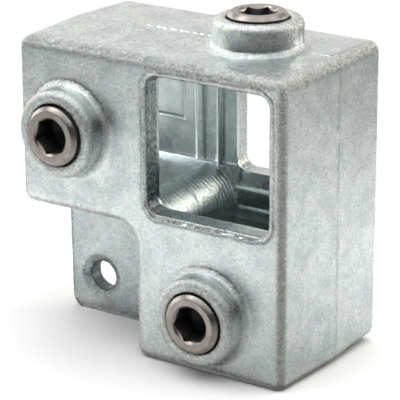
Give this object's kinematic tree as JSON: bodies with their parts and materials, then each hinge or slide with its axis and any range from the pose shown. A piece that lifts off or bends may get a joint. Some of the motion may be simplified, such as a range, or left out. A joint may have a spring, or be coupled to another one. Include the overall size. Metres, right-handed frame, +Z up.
{
  "type": "square tube clamp fitting",
  "caption": "Cast three-way corner clamp for square tube: one through socket, a side and a lower socket, each pinched by a grub screw, with a drilled web in the crook.",
  "frame": {"origin": "the point where the axes of the three tube sockets cross, which is the middle of the through socket", "axes": "+X from the side arm towards the closed right wall, +Y along the through socket from the face with two screws to the back, +Z up towards the top screw"},
  "size_m": [0.0947, 0.064, 0.1049],
  "materials": {
    "galvanised_iron": "hot-dip galvanised, mottled pale grey with a fine sand-cast grain",
    "screw_steel": "smooth brown-grey machined steel"
  },
  "bodies": {
    "casting": {"corner_casting": "galvanised_iron"},
    "top_screw": {"top_grub_screw": "screw_steel"},
    "side_screw": {"side_grub_screw": "screw_steel"},
    "lower_screw": {"lower_grub_screw": "screw_steel"}
  },
  "joints": [
    {"name": "top_screw_feed", "type": "slide", "parent": "casting", "child": "top_screw", "axis": [0, 0, -1], "range_m": [-0.006, 0.0019]},
    {"name": "side_screw_feed", "type": "slide", "parent": "casting", "child": "side_screw", "axis": [0, 1, 0], "range_m": [-0.006, 0.00185]},
    {"name": "lower_screw_feed", "type": "slide", "parent": "casting", "child": "lower_screw", "axis": [0, 1, 0], "range_m": [-0.006, 0.00135]}
  ]
}
